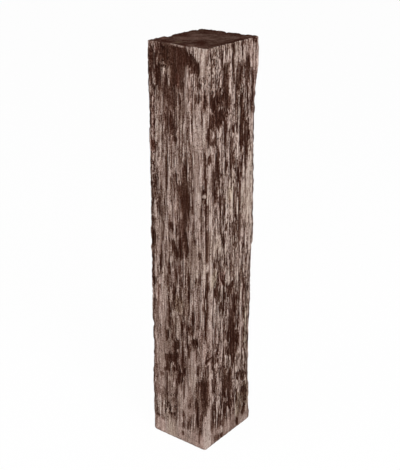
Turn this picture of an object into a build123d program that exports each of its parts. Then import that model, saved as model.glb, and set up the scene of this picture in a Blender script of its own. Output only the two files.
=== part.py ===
from build123d import *
from math import cos, hypot, pi, sin, sqrt
import os

# A cast concrete palisade post that imitates riven timber, standing on its foot.
# Millimetres, +Z up, X across the front, Y from front to back.
# The origin is the middle of the foot.

# Overall sizes, over the highest ribs
width = 102.0
depth = 120.0
height = 600.0

# Edges
arris_radius = 4.0  # upright corners where they are least worn
arris_reach = 19.0  # how far from a corner its worn rounding may start
rim_round = 1.8  # worn edge round the sawn end on top
rim_shoulder = 0.5  # how far in that edge is at its shoulder
rim_shoulder_drop = 0.6  # how far below the top the shoulder lies
rim_nick = 1.0  # how unevenly that edge is worn
rim_nick_turns = (1.9, 0.37)  # how fast its nicks come and go, in radians a point
end_dish = 1.6  # how far the sawn end lies below its rim
end_slope = 6.0  # width of the slope from the rim down to the sawn end
foot_round = 1.2  # eased edge of the foot

# Fine ribs of the grain, all over
rib_pitch = 10.5
broad_rib_pitch = 17.0  # a fainter second set that breaks up the first
broad_rib_share = 0.6
rib_depth = 0.9
rib_wander = 3.0  # sideways drift of a rib
long_wander = 420.0  # height over which the drift comes round
short_wander = 138.0  # and a smaller one within it

# Hollows between the raised grain, from narrow to broad
slit_width = 5.5
slit_depth = 1.15
split_width = 8.5
split_depth = 1.6
hollow_width = 12.5
hollow_depth = 2.3
bay_width = 19.0
bay_depth = 2.8
broad_width = 28.0
broad_depth = 2.8
cap_width = 44.0
cap_depth = 2.8
taper = 2.0  # a hollow runs out this many times slower up and down than across
flank = 1.5  # how softly its floor rises to its edges
least_run = 0.001  # stands for the length of a round hollow, whose ends lie in one place

# Spacing of the points that draw the surface
grain_step = 4.2  # across the two sides that face the path
hidden_grain_step = 7.2  # across the two that face the bed
level_step = 17.2  # between outlines

kinds = {
    "slit": (slit_width, slit_depth),
    "split": (split_width, split_depth),
    "hollow": (hollow_width, hollow_depth),
    "bay": (bay_width, bay_depth),
    "broad": (broad_width, broad_depth),
    "cap": (cap_width, cap_depth),
}

# Hollows of the front and of the right side, each from its upper to its lower end.
# An end is (percent of the side from the front right arris, percent of the height).
front_hollows = [
    ("cap", (55.5, 99), (55.5, 98)), ("cap", (49.5, 98.5), (49.5, 95.5)),
    ("broad", (73.5, 99.5), (73.5, 96.5)), ("broad", (32, 97.5), (22, 96)),
    ("split", (15.5, 96.5), (15.5, 94.5)), ("bay", (37, 97.5), (37, 96.5)),
    ("bay", (22, 95), (22, 95)), ("hollow", (81.5, 95), (81.5, 90.5)),
    ("hollow", (89, 90), (89, 90)), ("hollow", (91, 97.5), (91, 95.5)),
    ("hollow", (81, 100), (81, 97.5)), ("broad", (62.5, 92), (62.5, 87)),
    ("split", (69, 93), (69, 87.5)), ("bay", (54, 95), (54, 91.5)),
    ("slit", (50.5, 93.5), (50.5, 91)), ("bay", (59, 90.5), (59, 87)),
    ("hollow", (43, 93), (43, 90.5)), ("split", (3.5, 90), (3.5, 87)),
    ("split", (67.5, 84.5), (67.5, 80)), ("split", (59.5, 84), (59.5, 81.5)),
    ("hollow", (56.5, 81.5), (56.5, 80.5)), ("hollow", (54, 79), (54, 78.5)),
    ("hollow", (91.5, 77.5), (91.5, 76)), ("hollow", (38.5, 73), (38.5, 68.5)),
    ("broad", (42, 68), (36, 63)), ("split", (3.5, 73), (3.5, 67)),
    ("broad", (36, 65.5), (36, 62.5)), ("hollow", (36.5, 67.5), (36.5, 62.5)),
    ("bay", (39, 60.5), (39, 58)), ("hollow", (39, 57), (39, 56)),
    ("hollow", (37.5, 56.5), (34.5, 51.5)), ("split", (48, 55.5), (48, 50)),
    ("hollow", (56, 53.5), (56, 51)), ("bay", (52.5, 51.5), (52.5, 51)),
    ("hollow", (93, 55), (93, 53)), ("split", (65.5, 48.5), (65.5, 45.5)),
    ("hollow", (57, 42.5), (57, 41)), ("split", (30.5, 47.5), (30.5, 40)),
    ("split", (23, 37), (23, 34.5)), ("hollow", (93, 42.5), (93, 41.5)),
    ("split", (67.5, 33), (67.5, 30.5)), ("split", (70.5, 29.5), (70.5, 27.5)),
    ("bay", (56.5, 27.5), (56.5, 26.5)), ("hollow", (57.5, 25.5), (57.5, 24.5)),
    ("bay", (56.5, 24), (56.5, 24)), ("broad", (62.5, 22.5), (62.5, 22.5)),
    ("hollow", (72, 22.5), (72, 21.5)), ("split", (70.5, 20.5), (70.5, 18)),
    ("hollow", (58.5, 20), (58.5, 19.5)), ("hollow", (53, 21), (53, 20)),
    ("split", (42.5, 27.5), (42.5, 20)), ("hollow", (39.5, 20), (39.5, 19)),
    ("bay", (49.5, 19.5), (49.5, 17)), ("hollow", (38, 33), (38, 32)),
    ("hollow", (27.5, 33), (27.5, 31.5)), ("bay", (20, 29.5), (20, 29.5)),
    ("split", (3.5, 33), (3.5, 31)), ("split", (4.5, 20), (4.5, 19)),
    ("bay", (12, 18), (12, 18)), ("hollow", (6.5, 18.5), (6.5, 16)),
    ("hollow", (5, 15.5), (5, 10.5)), ("hollow", (9.5, 9.5), (9.5, 5)),
    ("split", (40.5, 8.5), (40.5, 7.5)), ("hollow", (77, 13.5), (77, 12)),
    ("hollow", (68.5, 7), (68.5, 7)), ("split", (89, 4.5), (89, 4.5)),
]
side_hollows = [
    ("split", (29.5, 98), (29.5, 95.5)), ("hollow", (38.5, 95), (38.5, 93.5)),
    ("bay", (39, 92.5), (39, 90.5)), ("hollow", (39, 89.5), (39, 84.5)),
    ("split", (42.5, 90.5), (42.5, 85)), ("split", (23, 93), (23, 92)),
    ("hollow", (26, 91), (26, 89.5)), ("cap", (20, 88.5), (20, 88.5)),
    ("broad", (29, 88.5), (29, 88.5)), ("broad", (26.5, 85.5), (26.5, 83.5)),
    ("hollow", (32.5, 85.5), (32.5, 83)), ("hollow", (9.5, 85), (9.5, 83)),
    ("bay", (9, 82), (9, 80.5)), ("split", (20, 82), (20, 78.5)),
    ("broad", (13.5, 79), (13.5, 79)), ("split", (36.5, 83), (36.5, 77.5)),
    ("split", (52.5, 81), (52.5, 80.5)), ("bay", (10, 75.5), (10, 75)),
    ("hollow", (22.5, 77), (22.5, 72)), ("broad", (21, 72), (21, 68)),
    ("split", (50, 77.5), (50, 74.5)), ("bay", (52, 74.5), (52, 70.5)),
    ("bay", (61.5, 94), (61.5, 90)), ("bay", (65, 91.5), (65, 91)),
    ("split", (57, 90.5), (57, 87)), ("split", (80.5, 96), (80.5, 87)),
    ("hollow", (76, 93), (76, 90.5)), ("hollow", (68, 87.5), (68, 85.5)),
    ("hollow", (69, 84.5), (69, 75.5)), ("split", (69, 78), (69, 74.5)),
    ("bay", (79.5, 81), (79.5, 74.5)), ("hollow", (80, 74), (80, 73.5)),
    ("split", (90, 92), (90, 86)), ("bay", (91, 100), (91, 100)),
    ("hollow", (67.5, 99.5), (67.5, 99)), ("bay", (66.5, 72.5), (66.5, 67.5)),
    ("hollow", (5.5, 60), (5.5, 51.5)), ("hollow", (6.5, 49), (6.5, 46.5)),
    ("split", (6, 43.5), (6, 40)), ("hollow", (5, 37), (5, 35)),
    ("hollow", (17.5, 66.5), (17.5, 64.5)), ("split", (42.5, 58), (42.5, 56.5)),
    ("slit", (31.5, 57), (36.5, 53.5)), ("hollow", (47.5, 66.5), (47.5, 64.5)),
    ("hollow", (60.5, 66.5), (60.5, 60.5)), ("hollow", (70, 58.5), (70, 57)),
    ("split", (68.5, 57.5), (68.5, 52.5)), ("bay", (57.5, 57.5), (57.5, 55.5)),
    ("hollow", (56, 55.5), (56, 52.5)), ("split", (61, 52.5), (61, 51)),
    ("split", (79.5, 57.5), (79.5, 53.5)), ("bay", (23.5, 49.5), (23.5, 49)),
    ("hollow", (31, 48.5), (31, 45.5)), ("hollow", (34, 45.5), (38.5, 44)),
    ("hollow", (53, 47), (53, 44.5)), ("hollow", (54.5, 42.5), (54.5, 41.5)),
    ("bay", (50.5, 41), (50.5, 40.5)), ("bay", (23.5, 42.5), (23.5, 41.5)),
    ("split", (27, 41.5), (27, 39.5)), ("split", (31.5, 39), (31.5, 37)),
    ("hollow", (60.5, 39.5), (60.5, 34.5)), ("hollow", (54, 35.5), (54, 33.5)),
    ("hollow", (69, 39), (69, 36)), ("bay", (57, 32.5), (57, 30.5)),
    ("broad", (60.5, 29), (60.5, 28)), ("broad", (59, 26.5), (59, 23)),
    ("hollow", (69, 27), (69, 25.5)), ("bay", (62, 21), (62, 20)),
    ("hollow", (46.5, 24.5), (46.5, 23.5)), ("bay", (44, 29.5), (44, 28)),
    ("split", (27.5, 26.5), (27.5, 25.5)), ("hollow", (22.5, 25.5), (22.5, 24.5)),
    ("split", (6, 25), (6, 25)), ("hollow", (13.5, 24.5), (13.5, 24.5)),
    ("hollow", (20, 24), (20, 24)), ("split", (25, 23.5), (25, 23)),
    ("hollow", (6.5, 23), (6.5, 20.5)), ("bay", (6.5, 19), (6.5, 12.5)),
    ("hollow", (9.5, 27), (9.5, 26.5)), ("hollow", (17, 22), (17, 21.5)),
    ("hollow", (21.5, 21), (21.5, 20)), ("hollow", (21.5, 19), (21.5, 17)),
    ("split", (20, 16.5), (20, 15)), ("hollow", (41.5, 18.5), (41.5, 12)),
    ("bay", (54, 17.5), (54, 10.5)), ("split", (45.5, 16.5), (45.5, 13.5)),
    ("split", (37.5, 12.5), (37.5, 10)), ("bay", (55.5, 9.5), (55.5, 8)),
    ("split", (50.5, 9.5), (50.5, 8.5)), ("hollow", (44, 9.5), (44, 7)),
    ("split", (15, 8), (17, 4.5)), ("split", (30, 8), (30, 4.5)),
    ("split", (41.5, 7.5), (41.5, 3.5)), ("hollow", (71.5, 16), (71.5, 14.5)),
    ("hollow", (79.5, 15), (79.5, 13.5)), ("broad", (86.5, 11), (86.5, 7)),
    ("hollow", (84.5, 4.5), (84.5, 3)), ("hollow", (80.5, 33), (80.5, 30.5)),
    ("split", (90, 27.5), (90, 26.5)), ("split", (90, 24), (90, 17.5)),
    ("bay", (28, 1.5), (28, 1)), ("split", (37.5, 1), (37.5, 0.5)),
    ("split", (71, 2), (71, 1)),
]

# How far each arris is worn back, as (percent of the height, millimetres), from the foot up
left_wear = [
    (0, 1.3), (5, 0.7), (17, 0.4), (21, 1.4), (25, 1.7), (27, 0.6), (29, 0.8), (30, 2.9),
    (31.3, 0.4), (38, 0.9), (45, 0.4), (49, 0.8), (53, 0), (57, 0), (61, 1.0), (69, 1.0),
    (74, 0.8), (76, 0.2), (85, 0.1), (95, 0), (100, 0.7),
]
front_wear = [
    (0, 0.3), (10, 0.5), (18, 1.6), (24, 0.8), (34, 1.0), (45, 1.4), (49.5, 0.2), (52, 1.5),
    (62, 1.6), (68, 0.8), (80, 1.2), (92, 0.4), (100, 0.8),
]
right_wear = [
    (0, 1.9), (1.5, 1.0), (4, 3.0), (8, 2.3), (11, 3.6), (16, 4.9), (25, 5.3), (32, 4.3),
    (42, 4.4), (49.6, 4.3), (50.4, 2.1), (57, 2.4), (62, 3.2), (66, 2.6), (71, 4.7), (79, 4.4),
    (83, 3.4), (85, 4.5), (89, 3.0), (92, 1.3), (93.5, 0.1), (97, 0), (98.5, 1.1), (100, 1.6),
]
back_wear = [(0, 1.4), (14, 0.6), (30, 1.5), (46, 0.7), (63, 1.3), (82, 0.6), (100, 1.2)]


def turned(hollows):
    """The hollows of a side turned end for end, which carry the grain on over a hidden side."""
    return [(kind, (100 - a[0], 100 - a[1]), (100 - b[0], 100 - b[1])) for kind, a, b in hollows]


# The four sides in order round the post, and the wear of the arris at the end of each.
# A side's places run from its start, or from its end where that is the front right arris.
front = {"length": width, "from_end": True, "hollows": front_hollows, "wear": front_wear}
right = {"length": depth, "from_end": False, "hollows": side_hollows, "wear": right_wear}
back = {"length": width, "from_end": True, "hollows": turned(front_hollows), "wear": back_wear}
left = {"length": depth, "from_end": False, "hollows": turned(side_hollows), "wear": left_wear}
sides = [front, right, back, left]
hidden_sides = [back, left]


def between(table, percent):
    """Value at a height in a table of (percent of the height, value)."""
    for (low, before), (high, after) in zip(table, table[1:]):
        if percent <= high:
            return before + (after - before) * (percent - low) / (high - low)
    return table[-1][1]


def hollow_at(side, along, z):
    """Depth of the deepest hollow at a place on a side."""
    across = side["length"] - along if side["from_end"] else along
    deepest = 0.0
    for kind, upper, lower in side["hollows"]:
        span, most = kinds[kind]
        ax = upper[0] * side["length"] / 100
        bx = lower[0] * side["length"] / 100
        az = upper[1] * height / 100 / taper
        bz = lower[1] * height / 100 / taper
        run = max(hypot(bx - ax, bz - az), least_run)
        share = ((across - ax) * (bx - ax) + (z / taper - az) * (bz - az)) / run**2
        share = min(max(share, 0), 1)
        off = hypot(across - ax - share * (bx - ax), z / taper - az - share * (bz - az))
        if off < span / 2:
            deepest = max(deepest, most * (1 - (2 * off / span) ** 2) ** flank)
    return deepest


def rib_at(around, z):
    """Depth below the crests of the fine ribs, whose lines drift from side to side with height."""
    drift = rib_wander * (sin(2 * pi * z / long_wander) + sin(2 * pi * z / short_wander) / 2)
    wave = cos(2 * pi * (around + drift) / rib_pitch)
    wave += broad_rib_share * cos(2 * pi * (around - drift) / broad_rib_pitch)
    crest = 1 + broad_rib_share
    return rib_depth * (crest - wave) / (2 * crest)


def depth_at(index, along, z):
    """Depth of the relief on a side."""
    around = along + sum(side["length"] for side in sides[:index])
    return rib_at(around, z) + hollow_at(sides[index], along, z)


def grain_lines():
    """Upright lines of points once round the post, as (side, place on its flat, share of its corner)."""
    lines = []
    corner_steps = 2 * int(arris_reach / grain_step)
    for index, side in enumerate(sides):
        flat = side["length"] - 2 * arris_reach
        steps = round(flat / (hidden_grain_step if side in hidden_sides else grain_step))
        lines += [(index, arris_reach + flat * step / steps, 0) for step in range(steps)]
        end = side["length"] - arris_reach
        lines += [(index, end, step / corner_steps) for step in range(corner_steps)]
    return lines


def corner_place(radius, share):
    """Place on the worn rounding of a corner: distances in from both sides, and the turn so far."""
    straight = arris_reach - radius
    arc = radius * pi / 2
    run = share * (2 * straight + arc)
    if run < straight:
        return arris_reach - run, 0, 0
    if run > straight + arc:
        return 0, run - straight - arc + radius, pi / 2
    turn = (run - straight) / radius
    return radius * (1 - sin(turn)), radius * (1 - cos(turn)), turn


def outline_point(line, z):
    """Point of the outline, set out as if its side were the front one and then turned to its own side."""
    index, along, share = line
    half_length = sides[index]["length"] / 2
    half_other = sides[index - 1]["length"] / 2
    if share == 0:
        x = along - half_length
        y = depth_at(index, along, z) - half_other
    else:
        wear = between(sides[index]["wear"], 100 * z / height)
        radius = min(arris_radius + wear / (sqrt(2) - 1), arris_reach)
        from_end, from_side, turn = corner_place(radius, share)
        here = depth_at(index, 2 * half_length - from_end, z)
        there = depth_at((index + 1) % 4, from_side, z)
        cut = here + (there - here) * turn / (pi / 2)
        x = half_length - from_end - cut * sin(turn)
        y = from_side - half_other + cut * cos(turn)
    point = Vector(x, y, 0).rotate(Axis.Z, 90 * index)
    return point.X, point.Y


def section(z, level, inset, nick):
    """Closed outline of the relief at a height, drawn at a level and drawn in by an uneven inset."""
    points = []
    for count, line in enumerate(grain_lines()):
        x, y = outline_point(line, z)
        quick, slow = (sin(turns * count) for turns in rim_nick_turns)
        worn = inset + nick * (1 + quick * slow) / 2
        points.append((x * (1 - 2 * worn / width), y * (1 - 2 * worn / depth), level))
    return Wire.make_polygon(points, close=True)


def palisade_post():
    """The casting, through its outlines from the foot up to the rim, then in and down to the sawn end."""
    top_level = height - rim_round
    count = round((top_level - foot_round) / level_step)
    levels = [foot_round + (top_level - foot_round) * step / count for step in range(count + 1)]
    outlines = [section(0, 0, foot_round, 0)]
    outlines += [section(z, z, 0, 0) for z in levels]
    outlines += [
        section(height, height - rim_shoulder_drop, rim_shoulder, rim_nick / 2),
        section(height, height, rim_round, rim_nick),
        section(height, height - end_dish, rim_round + end_slope, rim_nick),
    ]
    return Solid.make_loft(outlines, ruled=True)


post = palisade_post()
post.label = "palisade_post"
os.makedirs("parts", exist_ok=True)
export_step(post, "parts/palisade_post.step")
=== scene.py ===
import math
from types import SimpleNamespace

import bpy
import numpy as np
from mathutils import Matrix, Vector


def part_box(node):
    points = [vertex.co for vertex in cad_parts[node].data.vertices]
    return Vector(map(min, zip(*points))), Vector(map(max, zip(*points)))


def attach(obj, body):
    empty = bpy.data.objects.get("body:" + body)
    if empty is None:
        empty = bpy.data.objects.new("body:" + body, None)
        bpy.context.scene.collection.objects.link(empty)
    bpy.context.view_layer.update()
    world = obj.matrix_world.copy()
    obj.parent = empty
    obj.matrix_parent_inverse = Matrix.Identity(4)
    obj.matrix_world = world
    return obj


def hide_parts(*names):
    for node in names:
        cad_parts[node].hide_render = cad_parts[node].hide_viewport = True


# A cast concrete palisade post with a riven timber grain, dressed for a studio picture.
# The post is worked out in millimetres and made in metres. Z runs up from the foot.
# A list of four is for the front, the right, the back and the left side.

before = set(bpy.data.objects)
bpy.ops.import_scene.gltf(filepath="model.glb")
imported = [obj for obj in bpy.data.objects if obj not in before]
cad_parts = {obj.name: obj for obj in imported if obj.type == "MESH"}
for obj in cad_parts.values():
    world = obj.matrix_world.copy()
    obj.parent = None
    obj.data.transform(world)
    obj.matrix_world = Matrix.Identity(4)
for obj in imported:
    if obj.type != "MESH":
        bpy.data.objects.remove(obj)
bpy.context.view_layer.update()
lowest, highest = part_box("palisade_post")
width, depth, height = [1000 * (high - low) for low, high in zip(lowest, highest)]
scene = bpy.context.scene
print("post frame: %.1f x %.1f x %.1f mm" % (width, depth, height))

post = {
    "columnStep": [1.0, 1.0, 1.5, 1.5],  # between the points round each side
    "rowStep": 2.55,  # between the points that run up it
    "arrisRadius": 4.0,  # upright corners where they are least worn
    "arrisReach": 19.0,  # how far from a corner its wear may start
    "arrisRagged": 0.9,  # small uneven wear on the corners
    "footRound": 0.9,
    "footFlat": 14.0,  # the grain fades to half its depth over this height at the foot
    "footSmooth": (14.0, 42.0),  # the skin is smooth up to the first height, and grained from the second
    "rimRound": 1.0,
    "rimFlat": 8.0,  # the grain fades over this height under the rim
    "rimNick": 0.7,  # how far the rim of the sawn end is nicked down all round
    "rimNickReach": 14.0,  # how far below the rim its nicks still draw the grain down
    "endDish": 1.6,  # how far the sawn end lies below its rim
    "endSlope": 6.0,
    "endRings": 20,
    "sawMarkDepth": 0.25,
    "sawMarkPitch": 16.965,
    "ribPitch": 10.5,  # broad ribs of the grain
    "broadRibPitch": 17.0,
    "broadRibShare": 0.6,
    "ribDepth": 0.9,
    "ribDrift": 3.0,  # how far the ribs swing to the side, and over which heights
    "driftHeights": (420.0, 138.0),
    "streakWander": 2.2,  # how far the fine grain wanders to the side
    "streakParts": (0.7, 0.22, 0.08),  # shares of the fine, medium and broad grain in it
    "streakDepth": 0.7,  # fine grain lines
    "dashDepth": 0.5,  # short breaks in them
    "dashShare": 0.7,  # the higher, the fewer
    "smoothGrain": 0.2,  # share of the fine grain left on smooth skin
    "hollowDepth": 2.8,  # the deepest hollow
    "slitWidth": 5.0,  # hollows no wider than this are slits
    "hollowSlope": 0.3,  # depth of a narrow hollow against its width
    "crestHeight": 0.5,
    "crestShows": 0.7,  # how far a crest fills the hollow that it stands in
    "markStart": [1.1, -0.4, 1.1, -0.4],  # where the marks of a side are measured from
    "markSlant": [-0.6, 1.0, 0.6, -1.0],  # read at a slant, so deep ones lie this much further over
    "hollowEdge": 0.8,  # how soft the flank of a hollow is, against its half width
    "stainEdge": 0.4,  # and the edge of the colour in it
    "endRagged": 8.0,  # how unevenly a mark runs out up and down the grain
    "sideRagged": 0.8,  # and across it
    "raggedFrom": (6.0, 24.0),  # marks narrower or shorter than this have less ragged edges
}

# Soft noises: size of a cell round the post and up it, and seed
cells = {
    "wander": (26, 95, 11), "fine": (1.9, 60, 12), "medium": (4.1, 85, 13), "broad": (9.5, 120, 14),
    "clouds": (30, 70, 15), "dashes": (1.7, 9, 16), "flecks": (2.3, 6, 17),
    "sideEdge": (3, 9, 21), "endEdge": (1.4, 60, 22), "broadEndEdge": (5, 25, 23),
    "nick": (6, 50, 31), "fineNick": (2.2, 50, 32), "arris": (30, 7, 41), "fineArris": (12, 3.5, 42),
}

# How worn the skin is: 0 is the brown left in the hollows, 1 the palest crest
tone = {
    "base": 0.672,
    "streaks": [0.24, 0.38, 0.24, 0.38],  # how strongly the fine grain shows on each side
    "hollowStreaks": 0.4,  # share of it left in the hollows
    "dashes": [0.07, 0.17, 0.07, 0.17],
    "flecks": [0.06, 0.12, 0.06, 0.12],
    "stillFlecks": 0.3,  # share of dashes and flecks left where there are no streaks
    "clouds": 0.06,
    "hollow": 0.54,
    "crest": 0.3,
    "rimPale": 0.14,
    "rimPaleBand": (2.2, 0.6),  # it starts and is full this far below the rim
    "endEdge": 0.3,  # how much darker the sawn end is towards its rim
}

# Marks on the grain, judged from the photo, in millimetres from the left end of a side:
# (across, upper end, lower end, width, strength, and how far the lower end leans over).
frontHollowsAndShade = [
    # whole stretches a little darker
    (52, 398, 306, 92, 0.08), (50, 198, 104, 92, 0.1), (48, 598, 500, 84, 0.13),
    (46, 112, 60, 88, 0.06),
    # broad worn-in shades
    (86, 462, 430, 9, 0.2), (40, 382, 342, 9, 0.33), (96, 62, 30, 8, 0.45), (65, 240, 208, 9, 0.25),
    (70, 16, 0, 20, 0.25), (28, 258, 226, 8, 0.25), (71, 318, 288, 8, 0.25), (77, 602, 586, 10, 0.25),
    (44, 118, 92, 8, 0.25), (22, 178, 142, 9, 0.25), (36, 168, 136, 9, 0.25), (16, 76, 40, 9, 0.23),
    # long thin lines of the grain
    (91.5, 546, 522, 2, 0.5), (90.5, 286, 270, 2.5, 0.8), (65, 300, 270, 2.5, 0.6),
    (58.5, 340, 300, 2, 0.6), (4.5, 80, 28, 2.5, 0.5), (56.5, 212, 184, 2.2, 0.7),
    (25.5, 196, 170, 2, 0.5), (28.5, 102, 58, 2, 0.4), (29, 100, 55, 2.5, 0.5),
    (31.5, 405, 370, 2, 0.6), (40, 402, 376, 1.6, 0.7), (49, 374, 354, 2.5, 0.7, 2),
    (55, 352, 330, 1.8, 0.6, 2), (59, 332, 300, 1.6, 0.8), (24.5, 336, 314, 1.8, 0.6),
    (26.5, 352, 334, 1.6, 0.5), (18.5, 388, 360, 2, 0.5), (49, 276, 262, 2, 0.6),
    (52, 296, 275, 1.6, 0.6), (60, 286, 250, 1.6, 0.6), (64.5, 292, 250, 1.6, 0.6),
    (40.5, 276, 258, 1.8, 0.6), (42, 302, 282, 1.6, 0.6), (37.5, 280, 255, 1.4, 0.5),
    (57, 450, 415, 1.6, 0.5), (31.5, 478, 430, 2.2, 0.55), (40.5, 474, 436, 1.8, 0.5),
    (55, 482, 440, 1.8, 0.5), (65, 462, 428, 2.5, 0.6), (58.5, 485, 450, 1.6, 0.4),
    (63, 560, 512, 1.6, 0.4), (33, 578, 520, 2, 0.6), (50.5, 572, 534, 2, 0.6),
    (28, 530, 495, 1.8, 0.4), (17, 480, 440, 1.6, 0.4), (75, 470, 430, 1.8, 0.4),
    (21.5, 550, 520, 2, 0.5),
    # beside the far left arris, darker strips of painted shade where the front turns away from the light,
    # also cut in as shallow slits
    (2, 440, 260, 3, 0.4), (2, 590, 550, 3, 0.3), (2, 495, 470, 3, 0.3), (4, 345, 300, 3, 0.5),
    (4, 200, 150, 3, 0.5), (5, 330, 240, 4, 0.5),
    # the upper third, with the dark cap under the sawn end
    (46, 606, 575, 44, 0.66), (52, 604, 560, 30, 0.74), (27, 604, 572, 16, 0.4),
    (70, 592, 570, 16, 1, 10), (86, 580, 566, 5, 1), (65, 590, 575, 10, 1), (80, 574, 566, 12, 0.8),
    (19.5, 573, 541, 9, 0.9), (11, 541, 537, 8, 0.7), (20, 543, 537, 4, 0.6), (9, 588, 572, 8, 0.7),
    # (6, 600, 470) is one more strip of painted shade along the far left arris
    (8, 578, 545, 8, 0.4), (28, 555, 532, 9, 0.55), (19, 602, 584, 8, 0.5), (6, 600, 470, 3.5, 0.35),
    (25, 592, 578, 10, 0.4), (38, 560, 514, 20, 0.38), (31, 558, 524, 5, 0.8), (34, 580, 562, 3, 0.6),
    (47, 575, 545, 14, 0.8), (50, 562, 545, 4, 1), (42, 548, 517, 12, 0.65), (58, 560, 540, 8, 0.6),
    (71, 545, 530, 4, 0.7), (81.5, 539, 529, 4, 0.9), (86, 552, 546, 4, 0.8), (98, 542, 518, 6, 1),
    (49, 540, 515, 3, 0.6), (34, 512, 505, 6, 0.5), (33, 508, 480, 7, 0.75), (41, 506, 487, 6, 0.9),
    (44, 490, 480, 8, 0.6), (50, 492, 485, 4, 0.5), (47, 476, 468, 7, 0.85), (22, 503, 493, 4, 0.4),
    (10, 487, 483, 4, 0.5), (9, 466, 454, 9, 0.85), (12, 460, 450, 5, 0.6), (27, 455, 451, 4, 0.3),
    (97, 462, 448, 3, 0.6), (56, 525, 521, 4, 0.4), (60, 507, 503, 4, 0.4), (32, 452, 405, 3, 0.6),
    (66, 450, 420, 4, 0.5),
    # the middle third, with the long split down it
    (32, 445, 400, 4, 0.5), (40, 416, 403, 4, 0.8), (47, 428, 400, 6, 0.6), (63, 440, 410, 8, 0.8),
    (61, 415, 370, 15, 0.8, 4), (94.5, 413, 401, 8, 0.85), (10, 418, 400, 6, 0.5),
    (78, 410, 406, 3, 0.5), (64.5, 402, 366, 15, 0.8), (64, 408, 372, 8, 0.7), (63, 368, 345, 9, 0.9),
    (51, 400, 372, 5, 0.4), (62, 345, 335, 7, 0.9), (64, 342, 306, 8, 0.95, 3), (71, 362, 348, 4, 0.5),
    (54, 337, 306, 3.5, 0.7), (42, 328, 311, 7, 0.9, 2), (47, 317, 303, 8, 0.7),
    (52, 311, 301, 9, 0.6), (40, 350, 343, 6, 0.6), (18, 390, 362, 4, 0.55), (25, 372, 363, 3, 0.4),
    (10, 400, 380, 5, 0.6), (7, 332, 315, 8, 0.7), (6, 352, 346, 4, 0.4), (80, 335, 331, 5, 0.6),
    (89, 318, 310, 3, 0.7), (99, 335, 330, 3, 0.5), (86, 277, 272, 6, 0.9), (35, 293, 272, 5, 0.9),
    (33, 270, 245, 5, 0.7), (21, 305, 270, 5, 0.6), (20, 297, 291, 4, 0.7), (47, 290, 256, 4, 0.7),
    (44, 257, 243, 7, 0.95), (42, 243, 222, 4, 0.9), (55, 292, 280, 4, 0.7), (56, 275, 235, 4, 0.6),
    (70.5, 285, 238, 3.8, 1), (78, 224, 205, 5, 0.95), (34, 228, 200, 5, 0.7), (41, 224, 218, 4, 0.5),
    (61, 224, 216, 4, 0.5), (65, 235, 222, 4, 0.3), (7, 258, 248, 7, 0.8), (17, 250, 244, 4, 0.5),
    (15, 240, 215, 3, 0.5, -2), (52, 240, 215, 13, 0.3), (98, 262, 244, 3.5, 0.8),
    (97, 236, 206, 3, 0.6), (91.5, 385, 374, 3, 0.8), (91, 371, 366, 4.5, 0.7),
    (93.5, 405, 395, 2, 0.6), (77, 385, 370, 4, 0.5), (8, 240, 205, 4, 0.5, -2),
    (46, 428, 396, 3, 0.8, 7), (52, 352, 338, 3, 0.7), (55.5, 332, 300, 4, 0.7),
    (29, 322, 310, 2, 0.5),
    # the lower third, with its dark knots
    (86, 207, 200, 6, 0.6), (7, 210, 200, 6, 0.5), (34.5, 200, 183, 5, 0.9), (30, 178, 165, 6, 0.95),
    (26, 185, 178, 3, 0.6), (41, 200, 165, 5, 0.5), (48, 168, 155, 10, 0.95), (43, 155, 145, 7, 0.8),
    (47, 147, 140, 9, 0.9), (41, 142, 130, 18, 1), (29, 137, 127, 8, 0.9), (30, 125, 108, 6, 0.8),
    (42, 122, 116, 7, 0.8), (25, 115, 111, 5, 0.6), (50, 128, 118, 8, 0.7), (57, 200, 192, 4, 0.7),
    (58.5, 166, 118, 3.5, 1), (34.5, 212, 180, 3, 0.6), (61, 127, 112, 7, 0.9),
    (54, 118, 99, 11, 0.95), (48, 102, 92, 4, 0.4), (56, 100, 90, 4, 0.7), (61, 100, 80, 3, 0.8),
    (70, 163, 145, 4.5, 0.8), (67, 187, 170, 3, 0.7), (63, 200, 190, 10, 0.5), (74, 200, 188, 10, 0.7),
    (82, 180, 172, 12, 0.9), (80, 172, 165, 4, 0.8), (84, 165, 155, 3, 0.6), (98, 200, 185, 5, 0.8),
    (87, 140, 125, 4, 0.7), (93, 138, 134, 6, 0.6), (83, 130, 126, 5, 0.4), (97, 122, 112, 5, 0.8),
    (90, 112, 105, 14, 0.7), (96, 114, 95, 8, 0.85), (96, 95, 60, 6, 0.5), (89, 108, 64, 5, 0.35),
    (85.5, 79, 30, 3, 1, 2), (83.5, 77, 62, 3.5, 0.7), (94, 58, 20, 9, 0.5), (89.5, 27, 9, 2.8, 0.7),
    (71, 68, 64, 6, 0.6), (72, 78, 70, 4, 0.4), (72, 48, 32, 5, 0.55), (70, 40, 25, 5, 0.7),
    (60.5, 51, 44, 4, 0.9), (60, 42, 36, 3, 0.6), (60, 34, 25, 4, 1), (59, 17, 11, 3.5, 1),
    (23, 82, 70, 8, 0.6), (24, 70, 60, 5, 0.4), (43, 88, 70, 6, 0.25), (48, 92, 70, 4, 0.5),
    (41, 67, 62, 5, 0.45), (20, 106, 102, 5, 0.5), (19, 52, 45, 4, 0.6), (24, 50, 42, 4, 0.6),
    (34, 52, 45, 4, 0.5), (32, 45, 40, 8, 0.6), (30, 40, 35, 4, 0.6, 6), (45, 52, 48, 6, 0.5),
    (40, 42, 38, 8, 0.4), (11, 29, 26, 6, 0.7), (20, 27, 23, 5, 0.5), (5, 103, 98, 5, 0.6),
    (8, 115, 110, 5, 0.5), (11, 75, 60, 4, 0.4), (5, 34, 30, 4, 0.5),
]
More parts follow.
